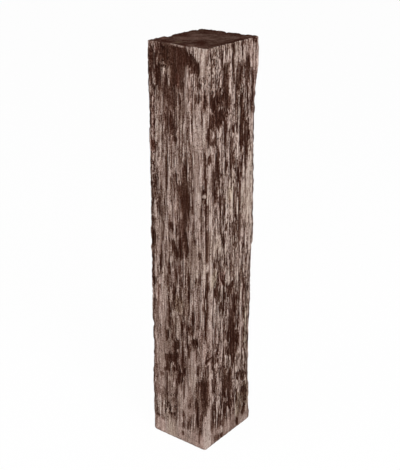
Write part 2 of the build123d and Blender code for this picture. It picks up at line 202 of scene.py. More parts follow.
frontCrests = [
    # whole stretches a little paler
    (55, 296, 206, 92, 0.1), (50, 96, 4, 96, 0.1), (52, 26, 0, 96, 0.5),
    # thin bright lines
    (90.5, 442, 398, 2, 0.9), (72, 601, 590, 1.8, 1, -2), (76, 601, 592, 1.8, 1, -3),
    (28.5, 396, 346, 1.6, 0.5), (62, 302, 250, 2, 0.6),
    # the upper third
    (13, 598, 588, 5, 0.5), (88, 600, 585, 20, 0.9), (94, 585, 560, 14, 0.45), (30, 571, 561, 6, 0.8),
    (37, 572, 550, 3.5, 0.7), (11, 555, 543, 3, 0.5), (68, 572, 515, 9, 0.6), (79, 555, 528, 3, 0.6),
    (90, 540, 525, 3, 0.6), (86, 520, 360, 12, 0.35), (16, 538, 440, 5, 0.35), (25, 530, 505, 6, 0.35),
    (21, 480, 420, 10, 0.3), (25, 415, 400, 8, 0.4), (37, 450, 370, 6, 0.45), (70, 470, 430, 4, 0.4),
    (96, 520, 470, 6, 0.6), (12, 445, 420, 6, 0.3), (74, 515, 470, 8, 0.35), (51, 605, 599.5, 20, 0.7),
    (89, 556, 520, 8, 0.9), (61, 488, 452, 8, 0.45),
    # the middle third
    (86, 402, 345, 11, 0.8), (88, 350, 320, 8, 0.45), (96, 345, 255, 5, 0.6), (98, 300, 280, 4, 0.7),
    (10, 372, 352, 6, 0.7), (35, 400, 370, 7, 0.6), (45, 375, 350, 4, 0.6), (28, 395, 365, 3, 0.4),
    (38, 338, 328, 7, 0.6), (28, 345, 330, 3, 0.5), (26, 290, 270, 3, 0.5), (40, 275, 262, 4, 0.5),
    (45, 270, 255, 3, 0.6), (77, 265, 240, 3, 0.5), (93, 260, 240, 4, 0.5), (37, 300, 292, 8, 0.4),
    (60, 325, 310, 2.5, 0.5), (20, 258, 200, 22, 0.6), (10, 245, 214, 8, 0.45),
    (85, 300, 250, 15, 0.3), (92, 240, 214, 10, 0.4), (89, 285, 248, 9, 0.5), (3, 220, 184, 8, 0.8),
    (91, 400, 366, 8, 0.7), (15, 344, 312, 8, 0.4), (96, 246, 212, 7, 0.4), (46.5, 372, 350, 3.5, 0.6),
    # the lower third
    (60, 100, 60, 18, 0.5, -5), (16, 208, 104, 20, 0.2), (15, 100, 34, 20, 0.35),
    (62, 75, 30, 14, 0.4), (77, 168, 95, 13, 0.5), (35, 103, 97, 8, 0.6), (42, 97, 91, 5, 0.7),
    (60, 113, 108, 3, 0.6), (97, 180, 140, 3, 0.9), (49, 183, 172, 6, 0.4), (64, 160, 152, 5, 0.5),
    (27, 48, 42, 5, 0.6), (37, 50, 45, 3, 0.5), (79, 65, 55, 4, 0.5), (99, 40, 0, 4, 0.7),
    (10, 20, 5, 8, 0.3), (3, 106, 64, 8, 0.8), (5, 48, 16, 8, 0.45), (93, 168, 132, 8, 0.45),
    (39, 206, 176, 7, 0.4),
]
rightHollows = [
    # the whole stretch under the rim a little darker
    (70, 606, 595, 84, 0.3),
    # broad worn-in shades
    (74, 126, 92, 9, 0.4), (77, 308, 272, 9, 0.4), (49, 178, 142, 9, 0.37), (12, 124, 88, 8, 0.33),
    (60, 330, 296, 8, 0.33), (10, 72, 36, 10, 0.4), (31, 496, 462, 8, 0.3), (68, 128, 94, 8, 0.35),
    (79, 126, 96, 7, 0.3), (62, 240, 210, 8, 0.3), (4, 534, 505, 7, 0.3), (51, 562, 530, 7, 0.3),
    # the upper third, with its broad hollows
    (33, 588, 572, 5, 0.8), (42, 575, 558, 12, 0.6), (42, 560, 540, 13, 0.75), (43, 540, 505, 10, 0.7),
    (48, 545, 510, 5, 0.9), (10, 574, 548, 2.5, 1), (25, 560, 550, 6, 0.7), (27, 548, 535, 9, 0.8),
    (20, 542, 522, 32, 0.85), (30, 534, 526, 18, 1), (2, 534, 525, 5, 0.6), (27, 520, 495, 16, 0.95),
    (35, 515, 495, 8, 1), (8, 512, 495, 8, 0.8), (15.5, 519, 494, 9, 0.7), (6, 495, 478, 12, 0.95),
    (21, 492, 470, 5, 0.9), (12, 480, 468, 20, 0.85), (41, 500, 465, 5, 0.9), (52, 485, 470, 2.5, 0.6),
    (60, 487, 482, 6, 0.8), (61, 482, 478, 4, 0.8), (8, 458, 447, 12, 0.8), (24, 465, 430, 8, 0.6),
    (22, 440, 400, 20, 0.55), (45, 447, 427, 4, 0.9), (34, 455, 425, 3, 0.4), (43, 472, 450, 4, 0.4),
    (57, 465, 445, 6, 0.85), (58, 450, 420, 11, 0.9), (70, 568, 535, 12, 0.8), (73, 552, 542, 10, 1),
    (66, 545, 520, 5, 0.8), (65, 530, 500, 4, 0.7), (60, 589, 584, 3, 0.7), (60, 578, 546, 4, 0.45),
    (79, 572, 562, 6, 0.6), (92, 590, 575, 4, 0.7), (92.5, 582, 518, 6, 1), (88, 560, 540, 8, 0.6),
    (78, 528, 510, 8, 0.8), (79, 510, 450, 9, 0.85), (80, 470, 445, 5, 0.9), (91, 490, 442, 12, 0.85),
    (92, 446, 439, 8, 1), (95, 440, 425, 4, 0.6), (88, 435, 425, 4, 0.4), (105, 552, 515, 5, 0.85),
    (102, 520, 500, 5, 0.5), (105, 602, 595, 14, 0.8), (91, 600, 592, 3, 0.8), (78, 598, 593, 10, 0.5),
    (76, 440, 400, 13, 0.75), (1, 440, 428, 2, 0.5), (109, 485, 475, 3, 0.5),
    # the middle third, with the long dark run beside the front arris
    (4.5, 398, 372, 2, 0.6), (3, 345, 307, 5, 0.5), (4, 295, 284, 7, 0.6), (6, 278, 265, 4, 0.8),
    (4, 262, 240, 7, 0.7), (2, 240, 228, 4, 0.6), (3, 225, 208, 7, 0.8), (18, 400, 385, 8, 0.7),
    (32, 398, 362, 4.5, 0.8), (40, 400, 355, 3.8, 0.9), (41, 360, 350, 4, 0.9), (24, 347, 343, 4, 0.4),
    (17, 365, 355, 4, 0.5), (48, 348, 338, 5, 0.9), (35, 342, 322, 4.5, 0.9, 6),
    (54, 400, 385, 10, 0.55), (69, 400, 360, 10, 0.65), (66, 400, 362, 2.5, 0.6),
    (78, 400, 350, 4, 0.9), (80, 352, 340, 8, 0.95), (79, 347, 313, 7, 1), (65, 350, 330, 14, 0.85),
    (64, 335, 312, 7, 0.85), (70, 315, 306, 6, 0.9), (93, 345, 320, 6, 0.65), (27, 320, 300, 4, 0.7),
    (39, 305, 300, 4, 0.6), (25, 300, 290, 14, 0.5), (34, 293, 270, 10, 0.65),
    (37, 275, 262, 9, 0.85, 5), (55, 298, 285, 4, 0.7, 7), (60, 285, 265, 8, 0.75),
    (69, 280, 265, 5, 0.6), (61, 258, 246, 8, 1), (56, 251, 237, 12, 1), (84, 268, 255, 4, 0.8),
    (83, 255, 225, 3, 0.8), (24, 260, 245, 12, 0.85), (29, 250, 235, 6, 1), (35, 236, 222, 5, 0.85),
    (41, 230, 205, 3.5, 0.9), (43, 260, 230, 3, 0.8), (69, 239, 200, 10, 1), (61, 215, 200, 8, 0.8),
    (92, 250, 200, 4, 0.85), (97, 288, 275, 4, 0.7), (106, 232, 228, 4, 0.8), (98, 235, 225, 6, 0.2),
    (80, 235, 215, 8, 0.5), (88, 387, 383, 6, 0.6), (101, 386, 382, 3, 0.5), (86, 365, 361, 3, 0.6),
    (110, 390, 380, 4, 0.5), (109, 365, 345, 4, 0.5),
    # the lower third
    (64, 200, 180, 12, 0.9), (58, 200, 170, 4, 0.8), (68, 180, 160, 16, 0.95), (66, 165, 130, 16, 1),
    (79, 165, 150, 8, 0.9), (70, 130, 115, 10, 0.9), (44, 200, 175, 4, 0.8), (45, 155, 115, 4, 0.8),
    (53, 150, 140, 8, 0.6), (50, 180, 165, 12, 0.5), (24, 200, 180, 5, 0.6), (22, 180, 160, 5, 0.7),
    (30, 160, 152, 5, 0.85), (24, 155, 145, 8, 0.7), (4, 152, 148, 6, 0.8), (12, 149, 145, 8, 0.9),
    (20, 147, 142, 8, 0.9), (27, 143, 138, 6, 0.8), (4, 140, 122, 8, 0.95), (3, 118, 70, 10, 0.97),
    (8, 165, 158, 10, 0.6), (3, 160, 150, 4, 0.5), (17, 134, 127, 7, 0.95), (22, 128, 118, 10, 0.7),
    (22, 115, 100, 10, 0.75), (21, 100, 90, 6, 0.8), (46, 112, 70, 10, 0.8), (60, 108, 60, 12, 0.95),
    (52, 100, 80, 6, 0.7), (42, 75, 60, 6, 0.7), (62, 60, 45, 10, 0.95), (57, 58, 50, 6, 1),
    (50, 60, 40, 8, 0.6), (26, 80, 50, 3, 0.9), (20, 70, 45, 6, 0.6), (15, 50, 25, 6, 0.9, 2),
    (33, 50, 27, 5, 0.85), (39, 45, 25, 4, 0.6), (47, 45, 20, 6, 0.7), (80, 65, 45, 4, 0.9),
    (84, 50, 25, 3, 0.5), (82, 97, 85, 9, 0.85), (92, 92, 78, 7, 0.95), (100, 72, 40, 18, 0.65),
    (98, 30, 15, 10, 0.7), (93, 200, 182, 8, 0.75), (92, 165, 130, 4, 0.9), (105, 165, 158, 5, 0.95),
    (103, 157, 153, 4, 0.8), (105, 145, 105, 6, 0.85), (106, 190, 180, 4, 0.6), (84, 130, 122, 4, 0.7),
    (78, 140, 132, 4, 0.5), (75, 100, 90, 3, 0.7), (30, 12, 3, 14, 0.5), (42, 8, 2, 6, 0.8),
    (82, 14, 4, 6, 0.8),
]
rightCrests = [
    # whole stretches a little paler
    (58, 398, 304, 108, 0.3), (58, 298, 204, 108, 0.14), (58, 598, 540, 108, 0.16),
    # the upper third
    (4, 590, 500, 7, 0.8), (18, 597, 563, 21, 0.8), (28, 590, 560, 5, 0.6), (17, 575, 545, 5, 0.6),
    (32, 553, 545, 3, 0.7), (34, 545, 535, 2.5, 0.7), (10, 520, 516, 5, 0.6), (29, 520, 516, 5, 0.8),
    (15, 492, 478, 7, 0.8), (29, 490, 480, 10, 0.7), (33, 470, 430, 5, 0.6), (54, 573, 503, 4.5, 1),
    (61, 538, 500, 3.5, 0.8), (51.5, 501, 488, 8, 1), (47, 490, 455, 4, 0.6), (46, 590, 575, 4, 0.6),
    (65, 592, 578, 6, 0.85), (80, 585, 575, 10, 0.5), (98, 598, 578, 11, 0.85),
    (101, 595, 555, 4, 0.7), (115, 585, 555, 6, 0.6), (107, 592, 553, 13, 0.75),
    (98, 545, 530, 5, 0.6), (111, 550, 520, 5, 0.6), (105, 502, 400, 10, 0.9), (69, 480, 440, 8, 0.6),
    (62, 425, 400, 5, 0.5), (38.5, 466, 410, 5, 0.95), (8, 443, 400, 6, 0.85), (10, 468, 460, 14, 0.7),
    (17, 462, 447, 5, 0.8), (45, 425, 400, 5, 0.6), (93, 420, 400, 6, 0.6), (95, 428, 345, 22, 0.45),
    (15, 582, 545, 9, 0.7), (19, 592, 564, 11, 1), (39, 452, 420, 7, 0.6), (78, 452, 420, 8, 0.6),
    (26, 602, 584, 12, 0.6),
    # the middle third
    (9.5, 272, 205, 3, 0.8), (9, 400, 350, 6, 0.85), (7, 301, 294, 17, 0.95), (12, 296, 172, 7, 0.95),
    (21, 380, 310, 6, 0.5), (46, 400, 385, 5, 0.85), (52, 382, 340, 5, 0.75), (59, 400, 365, 5, 0.85),
    (39, 318, 308, 3, 0.7), (87, 345, 325, 4, 0.7), (101, 400, 296, 18, 0.75),
    (104, 318, 290, 10, 0.9), (67, 328, 318, 2.5, 0.7), (53, 270, 255, 4, 0.8), (73, 275, 255, 8, 0.7),
    (78, 262, 235, 5, 0.5), (87, 262, 230, 5, 0.7), (36, 218, 205, 8, 0.5), (102, 230, 215, 4, 0.7),
    (100, 245, 218, 8, 0.4), (104, 226, 186, 9, 1), (89, 272, 236, 10, 0.95), (43, 308, 272, 8, 0.7),
    (102, 310, 275, 9, 0.9), (110, 340, 306, 8, 0.6),
    # the lower third
    (28, 185, 165, 8, 0.5), (35, 180, 150, 4, 0.7), (38, 160, 120, 6, 0.4), (41, 205, 122, 2.2, 0.9),
    (13, 143, 130, 5, 0.8), (12, 125, 115, 12, 0.8), (13, 115, 80, 6, 0.6), (14, 75, 60, 6, 0.6),
    (52, 138, 127, 6, 0.85), (57, 125, 112, 4, 0.7), (87, 205, 125, 6.5, 0.85), (79, 206, 182, 6, 0.5),
    (34, 205, 115, 13, 0.35), (99, 205, 104, 9, 0.5), (94, 122, 108, 10, 0.7), (71, 110, 95, 3, 0.7),
    (80, 108, 100, 6, 0.6), (90, 102, 98, 3, 0.9), (32, 90, 65, 6, 0.8), (30, 65, 30, 3, 0.85),
    (36, 100, 85, 4, 0.6), (8, 62, 0, 17, 1), (55, 65, 59, 5, 1), (77, 60, 50, 5, 0.8),
    (73, 50, 25, 4, 0.7), (79, 40, 20, 4, 0.7), (86, 80, 30, 5, 0.6), (58, 30, 5, 14, 0.6),
    (40, 20, 10, 10, 0.7), (100, 10, 0, 20, 0.6), (108, 30, 15, 5, 0.5), (97, 178, 140, 9, 0.9),
    (15, 172, 142, 8, 0.5), (98, 50, 24, 10, 0.5),
]
# The same along the front arris, between the front and the right side, measured round from it
arrisHollows = [
    (-0.8, 591, 561, 2.4, 0.5), (3, 591, 580, 2, 0.5), (-1.5, 538, 519, 2.4, 0.8),
    (1.5, 506, 493, 3, 0.7), (-2.4, 463, 427, 2.4, 1), (3, 454, 446, 4, 0.8), (-0.6, 426, 406, 4.4, 1),
    (-1.5, 400, 392, 2.5, 1), (0.2, 390, 358, 2.5, 0.95), (2.6, 353, 303, 7.2, 0.78),
    (5.4, 420, 372, 1, 0.8), (-6.9, 411, 368, 1.2, 0.9), (-6.4, 409.5, 404, 2.4, 1),
    (6, 496, 474, 6.4, 0.9), (4, 290, 272, 4.2, 0.95), (4.8, 272, 259, 3, 0.95),
    (0.6, 272, 254, 1.5, 0.8), (-0.8, 254, 224, 2.5, 0.85), (4, 252, 223, 3, 0.85),
    (3.2, 224, 186, 5, 0.9), (-0.4, 217, 200, 1.8, 0.9), (-2, 194, 182, 2.6, 0.9),
    (1.6, 156, 128, 3, 0.7), (3, 162, 144, 3, 0.7), (9.8, 575, 546, 1.8, 1),
    (12.6, 603, 584, 1.6, 0.9), (8, 593, 588, 2.6, 1), (8.6, 586, 580, 3, 0.9), (16, 594, 588, 3, 0.7),
    (15.5, 584, 578, 3, 0.8), (13, 578, 573, 2.6, 0.8), (5.6, 604, 599, 5, 0.8),
    (-11, 554, 548, 3, 0.8), (-14, 540, 528, 3.4, 0.9), (-17, 562, 552, 2.6, 0.7),
    (0.8, 532, 526, 2.2, 0.8), (4.4, 569, 564, 2, 0.8), (4.5, 148, 146.5, 5, 0.9),
    (9, 150, 148, 6, 0.9), (14, 151.5, 150, 6, 0.9), (19, 153, 151.5, 5, 0.6), (6, 144, 119, 6, 0.85),
    (3.4, 117, 72, 13, 0.9), (0.5, 74, 60, 6, 0.7),
]
# pale marks up the front arris: worn edges, and painted highlight where the rounded arris catches the light
arrisCrestsAndHighlights = [
    (0.4, 474, 449, 2, 1), (3.1, 424, 391, 1.7, 1), (5.6, 444, 423, 5, 1), (-3.7, 402, 400.6, 7.5, 1),
    (-8.8, 427, 394, 1, 0.8), (4.5, 582, 545, 8, 0.9), (3, 298, 292, 8, 1), (-2.2, 348, 258, 1.8, 0.8),
    (0.5, 247, 233, 2, 1), (-4.2, 223, 186, 5, 0.6), (-2.4, 196, 152, 1.8, 1),
    (3.5, 144, 142.5, 5, 0.9), (8.5, 145.5, 144, 5, 0.9), (13, 147.5, 146, 6, 0.8),
    (-3.4, 179, 141, 2.6, 1), (12.4, 143, 133, 4, 0.8), (15, 130, 119, 8, 0.8),
    (4.6, 224, 180, 1.8, 0.9), (4, 141, 122, 2.6, 0.9), (3, 538, 530, 4, 0.7),
    (2.5, 525, 517, 2.4, 0.9), (-3, 511, 493, 2.6, 0.7), (0, 50, 0, 12, 0.5),
]
# Notches in the rim: place round the post from the front's left end, width and depth
rimNotches = [
    (104, 3, 0.5), (113, 4, 0.8), (211, 9, 2.2), (279, 4, 1.0), (332, 5, 1.2), (397, 11, 1.3),
    (430, 6, 0.8), (64, 16, 1.1), (92, 12, 0.5), (30, 6, 0.8), (160, 7, 0.6), (250, 8, 0.6),
]
# Marks on the sawn end: (across from the middle, back from the middle, half width, half depth,
# turn in degrees, how much paler, how much redder)
endMarks = [
    (-28, 20, 11, 10, 30, 0.35, 0.2), (-14, 0, 12, 8, -30, 0.35, 0.3), (-26, -14, 8, 9, 0, 0.3, 0.8),
    (2, 9, 12, 7, -30, 0.25, 0.3), (25, 34, 8, 13, 0, 0.3, 0), (10, 38, 8, 10, 0, 0.15, 0),
    (-14, -38, 5, 9, 30, 0.3, -1), (-38, -8, 6, 5, 0, 0.2, -0.6), (-46, -30, 6, 9, 0, 0.35, 0.6),
    (14, -10, 4, 3, 0, 0.2, 0.4), (22, -50, 14, 5, 0, 0.35, 0.5), (-26, -56, 14, 4, 0, 0.35, 0),
    (8, -16, 11, 7, -60, -0.45, 0.3), (20, -29, 9, 5, -50, -0.42, 0.3),
    (-28, -41, 13, 6, 0, -0.4, 0.2), (4, -50, 6, 8, 30, -0.42, 0.4), (41, 12, 4, 14, 0, -0.45, 0.3),
    (33, 38, 4, 10, 20, -0.35, 0.3), (-30, 44, 13, 9, 0, -0.35, 0.4), (-41, 8, 7, 13, 0, -0.3, 0.5),
    (-10, -22, 7, 5, 0, -0.25, 0.3), (0, 44, 7, 5, 0, -0.2, 0.5), (40, -20, 6, 16, 0, -0.25, 0.3),
    (16, 50, 12, 5, 0, -0.25, 0.2),
]
# Marks where the cast skin is pitted
pitted = [
    [  # front
        (27, 600, 565, 20, 0.8), (8, 450, 400, 10, 0.8), (35, 80, 35, 30, 0.6),
        (92, 560, 530, 12, 0.4),
    ],
    [  # right
        (12, 600, 545, 26, 0.7), (20, 595, 560, 18, 0.6), (30, 545, 500, 40, 0.6),
        (100, 70, 30, 20, 0.8), (85, 100, 85, 16, 0.6), (22, 130, 90, 14, 0.5),
    ],
]
# where it is smooth, with little grain
smoothed = [
    [  # front
        (92, 600, 562, 22, 0.8), (48, 606, 560, 40, 0.8), (62, 412, 340, 14, 0.7),
        (85, 440, 355, 12, 0.9), (86, 520, 440, 11, 0.6), (17, 258, 60, 26, 0.7),
        (62, 96, 45, 28, 0.8), (74, 165, 95, 14, 0.6), (35, 112, 55, 24, 0.5), (13, 350, 300, 12, 0.5),
        (24, 440, 400, 14, 0.5), (80, 330, 290, 20, 0.5), (94, 110, 40, 14, 0.5),
    ],
    [  # right
        (8, 62, 0, 18, 0.9), (27, 520, 496, 14, 0.6), (5, 345, 285, 8, 0.7), (96, 400, 345, 20, 0.6),
        (68, 250, 150, 14, 0.5), (109, 600, 550, 17, 0.25), (98, 598, 578, 11, 0.5),
        (60, 108, 60, 12, 0.5), (100, 72, 30, 20, 0.5), (90, 205, 125, 9, 0.5),
    ],
]
# and where it leans to pink (above 0) or to olive (below 0)
tinted = [
    [  # front
        (99, 45, 0, 10, 0.2), (12, 25, 0, 24, 0.3), (16, 592, 588, 8, 0.6), (8, 465, 450, 10, 0.8),
        (50, 560, 545, 6, 0.7), (40, 30, 0, 16, -0.15), (88, 24, 0, 22, 0.2), (10, 530, 470, 6, 0.5),
        (52, 240, 215, 16, -0.3), (14, 245, 215, 5, 0.3), (11, 78, 58, 5, 0.4),
    ],
    [  # right
        (43, 574, 558, 12, -0.35), (20, 285, 262, 14, -0.45), (54, 400, 384, 12, -0.35),
        (40, 278, 260, 12, 0.8), (92, 250, 200, 6, 0.6), (99, 205, 140, 8, -0.3),
        (105, 70, 20, 20, -0.4), (86, 60, 20, 16, -0.4),
    ],
]
# How far each arris is worn back, in millimetres, at percentages of the height from the foot up
arrisWear = [
    [  # front to right
        (0, 0.3), (10, 0.5), (18, 1.6), (24, 0.8), (34, 1.0), (45, 1.4), (49.5, 0.2), (52, 1.5),
        (62, 1.6), (68, 0.8), (80, 1.2), (92, 0.4), (100, 0.8),
    ],
    [  # right to back
        (0, 1.9), (1.5, 1.0), (4, 3.0), (8, 2.3), (11, 3.6), (16, 4.9), (25, 5.3), (32, 4.3),
        (42, 4.4), (49.6, 4.3), (50.4, 2.1), (57, 2.4), (62, 3.2), (66, 2.6), (71, 4.7), (79, 4.4),
        (83, 3.4), (85, 4.5), (89, 3.0), (92, 1.3), (93.5, 0.1), (97, 0), (98.5, 1.1), (100, 1.6),
    ],
    [  # back to left
        (0, 1.4), (14, 0.6), (30, 1.5), (46, 0.7), (63, 1.3), (82, 0.6), (100, 1.2),
    ],
    [  # left to front
        (0, 1.3), (5, 0.7), (17, 0.4), (21, 1.4), (25, 1.7), (27, 0.6), (29, 0.8), (30, 2.9),
        (31.3, 0.4), (38, 0.9), (45, 0.4), (49, 0.8), (53, 0), (57, 0), (61, 1.0), (69, 1.0),
        (74, 0.8), (76, 0.2), (85, 0.1), (95, 0), (100, 0.7),
    ],
]

sideLengths = [width, depth, width, depth]
sideStarts = [0, width, width + depth, 2 * width + depth]
girth = 2 * (width + depth)


def turnedOver(marks, side):
    # the same marks turned end for end, for the two sides at the back
    far = sideLengths[side] - 2 * post["markStart"][side]
    turned = []
    for across, upper, lower, wide, strength, *lean in marks:
        foot = across + sum(lean)
        turned.append((far - foot, height - lower, height - upper, wide, strength, foot - across))
    return turned


hollowsAndShade = [frontHollowsAndShade, rightHollows]
crests = [frontCrests, rightCrests]
for marks in (hollowsAndShade, crests, pitted, smoothed, tinted):
    marks += [turnedOver(marks[0], 0), turnedOver(marks[1], 1)]


def ease(values):
    # 0 to 1, slow at both ends
    values = np.clip(values, 0, 1)
    return values * values * (3 - 2 * values)


def softNoise(name, around, up):
    # strips of soft noise up the post, each out of step with the next, closed round the post
    cellAround, cellUp, seed = cells[name]
    dice = np.random.default_rng(seed)
    strips = max(4, round(girth / cellAround))
    knots = math.ceil(height / cellUp) + 4
    grid = dice.random((knots, strips))
    shift = dice.random(strips)
    place = around / girth * strips
    first = np.floor(place).astype(int)
    share = ease(place - first)

    def strip(column):
        column = column % strips
        level = up / cellUp + 1 + shift[column]
        knot = np.clip(np.floor(level).astype(int), 0, knots - 2)
        rise = ease(level - knot)
        return grid[knot, column] * (1 - rise) + grid[knot + 1, column] * rise

    return strip(first) * (1 - share) + strip(first + 1) * share


def swing(name, around, up):
    # the same noise from -1 to 1
    return 2 * (softNoise(name, around, up) - 0.5)


def patch(mark, along, up, ragAcross=0, ragUp=0):
    # how far out a place lies in one mark with ragged edges: 1 is on its outline
    across, upper, lower, wide, strength, *lean = mark
    run = np.clip((upper - up) / (upper - lower), 0, 1)
    middle = across + sum(lean) * run
    giveAcross = min(1, wide / post["raggedFrom"][0])
    giveUp = min(1, (upper - lower) / post["raggedFrom"][1])
    offAcross = (along - middle + ragAcross * giveAcross) / (wide / 2 + 0.35)
    offUp = (up - (upper + lower) / 2 + ragUp * giveUp) / ((upper - lower) / 2 + 1.5)
    return np.sqrt(np.abs(offAcross) ** 2.2 + np.abs(offUp) ** 5)  # straight flanks, rounded ends


def within(away, edge):
    # 1 inside a mark and 0 outside, with an edge this soft
    return ease((1 + edge / 2 - away) / edge)


def layMarks(marks, along, up, rags, start=0, slant=0):
    # marks laid over each other, and how deep they go: deep ones lie further over
    bare = np.ones_like(along)
    deepest = np.zeros_like(along)
    for mark in marks:
        wide, strength = mark[3:5]
        deep = min(post["hollowSlope"] * wide, post["hollowDepth"]) * strength
        away = patch(mark, along - start - slant * deep, up, *rags)
        bare *= 1 - strength * within(away, post["stainEdge"])
        deepest = np.maximum(deepest, deep * within(away, post["hollowEdge"]))
    return 1 - bare, deepest


def leanMarks(marks, along, up, start):
    # marks added up, whose strength is above or below 0, and kept from -1 to 1
    total = np.zeros_like(along)
    for mark in marks:
        total += mark[4] * within(patch(mark, along - start, up), 1)
    return np.clip(total, -1, 1)


def ribs(around, up):
    # broad ribs whose lines drift from side to side with height
    slow, quick = [np.sin(2 * np.pi * up / run) for run in post["driftHeights"]]
    drift = post["ribDrift"] * (slow + quick / 2)
    share = post["broadRibShare"]
    wave = np.cos(2 * np.pi * (around + drift) / post["ribPitch"])
    wave += share * np.cos(2 * np.pi * (around - drift) / post["broadRibPitch"])
    return post["ribDepth"] * (1 + share - wave) / (2 * (1 + share))


def columnsRound():
    # upright lines of points once round: side, place on its flat, share of the corner after it
    columns = []
    reach = post["arrisReach"]
    for side, length in enumerate(sideLengths):
        flat = length - 2 * reach
        steps = round(flat / post["columnStep"][side])
        cornerSteps = round((2 * reach - post["arrisRadius"]) / post["columnStep"][side])
        columns += [(side, reach + flat * step / steps, 0) for step in range(steps)]
        columns += [(side, length - reach, step / cornerSteps) for step in range(cornerSteps)]
    return columns


def rowsUp():
    # levels from the foot up, each with how far the outline is drawn in there
    foot, rim = post["footRound"], post["rimRound"]
    body = height - foot - rim
    count = round(body / post["rowStep"])
    rows = [(0, foot), (0.35 * foot, 0.4 * foot)]
    rows += [(foot + body * step / count, 0) for step in range(count + 1)]
    rows += [(height - 0.62 * rim, 0.1 * rim), (height - 0.25 * rim, 0.4 * rim), (height, rim)]
    return rows


def makeNet():
    # the points of the sides: rows up the post and columns round it, bent round the worn arrises
    side, flatPlace, share = [np.array(values) for values in zip(*columnsRound())]
    up, inset = [np.array(values)[:, None] + np.zeros(len(side)) for values in zip(*rowsUp())]
    reach = post["arrisReach"]
    corner = share > 0

    # one place round the post for each column, which goes on evenly through the corners
    around = np.array(sideStarts)[side] + flatPlace + share * 2 * reach + np.zeros_like(up)
    swept = around + post["streakWander"] * swing("wander", around, up)

    # how far each arris is worn back, which widens its round
    wear = np.zeros_like(up)
    for index, profile in enumerate(arrisWear):
        at, worn = zip(*profile)
        here = corner & (side == index)
        wear[:, here] = np.interp(100 * up[:, here] / height, at, worn)
    ragged = softNoise("arris", around, up) + softNoise("fineArris", around, up) - 1
    wear = np.maximum(wear + post["arrisRagged"] * ragged, 0)
    radius = np.minimum(post["arrisRadius"] + wear / (math.sqrt(2) - 1), reach)

    # a corner runs straight, round its arc and straight again
    straight = reach - radius
    arc = radius * np.pi / 2
    run = share * (2 * straight + arc)
    turn = np.clip((run - straight) / radius, 0, np.pi / 2)
    onArc = (run > straight) & (run < straight + arc)
    past = run >= straight + arc
    fromEnd = np.where(onArc, radius * (1 - np.sin(turn)), reach - run)
    fromSide = np.where(onArc, radius * (1 - np.cos(turn)), 0)
    return SimpleNamespace(
        side=side, length=np.array(sideLengths)[side], flatPlace=flatPlace, corner=corner,
        up=up, inset=inset, around=around, swept=swept, turn=turn,
        fromEnd=np.where(past, 0, fromEnd),
        fromSide=np.where(past, run - straight - arc + radius, fromSide),
    )


def nickedLevels(net):
    # the rim is nicked down a little all round, and more in a few places
    flat = net.up * 0
    nick = (softNoise("nick", net.around, flat) + softNoise("fineNick", net.around, flat)) / 2
    nick = post["rimNick"] * ease(2 * nick - 0.5)
    for place, wide, deep in rimNotches:
        nick += deep * ease(1.6 - np.abs(net.around - place) / wide * 2)
    reach = post["rimNickReach"]
    return net.up - nick * ease((net.up - height + reach) / reach)


def readMarks(net):
    # what the marks of each side give at each point, shared between two sides at a corner
    around, up, side = net.around, net.up, net.side
    ragAcross = post["sideRagged"] * swing("sideEdge", around, up)
    ragUp = post["endRagged"] * (swing("endEdge", around, up) + swing("broadEndEdge", around, up) / 2)
    ragUp *= ease((up + 4) / 40)  # marks end more evenly near the foot
    names = ("hollow", "cut", "slit", "slitCut", "crest", "pitted", "smoothed", "tint")
    fields = {name: np.zeros_like(up) for name in names}
    onNext = net.turn / (np.pi / 2) * net.corner
    ownPlace = np.where(net.corner, net.length - net.fromEnd, net.flatPlace)
    for here in range(4):
        start, slant = post["markStart"][here], post["markSlant"][here]
        slits = [mark for mark in hollowsAndShade[here] if mark[3] <= post["slitWidth"]]
        broad = [mark for mark in hollowsAndShade[here] if mark[3] > post["slitWidth"]]
        own = (side == here, ownPlace, 1 - onNext)
        before = (net.corner & (side == (here - 1) % 4), net.fromSide, onNext)
        for columns, place, share in (own, before):
            along, ups, weight = place[:, columns], up[:, columns], share[:, columns]
            rags = ragAcross[:, columns], ragUp[:, columns]
            for name, deepName, marks in (("hollow", "cut", broad), ("slit", "slitCut", slits)):
                laid, deepest = layMarks(marks, along, ups, rags, start, slant)
                fields[name][:, columns] += weight * laid
                fields[deepName][:, columns] += weight * deepest
            for name, marks in (("crest", crests), ("pitted", pitted), ("smoothed", smoothed)):
                fields[name][:, columns] += weight * layMarks(marks[here], along, ups, rags, start)[0]
            fields["tint"][:, columns] += weight * leanMarks(tinted[here], along, ups, start)

    # marks that run up the front arris itself, whose pale ones are worn edges and painted highlight
    rags = 0.3 * ragAcross, 0.4 * ragUp
    hollow, cut = layMarks(arrisHollows, around - width, up, rags)
    crest = layMarks(arrisCrestsAndHighlights, around - width, up, rags)[0]
    fields["hollow"] = 1 - (1 - fields["hollow"] * (1 - crest)) * (1 - hollow)
    fields["cut"] = np.maximum(fields["cut"] * (1 - crest), cut)
    fields["crest"] = 1 - (1 - fields["crest"] * (1 - hollow)) * (1 - crest)

    # a crest that stands in a broad hollow shows through it, and a slit goes through the crest
    through = 1 - post["crestShows"] * fields["crest"]
    fields["hollow"] = 1 - (1 - fields["hollow"] * through) * (1 - fields["slit"] * (1 - crest))
    fields["cut"] = np.maximum(fields["cut"] * through, fields["slitCut"] * (1 - crest))
    return fields


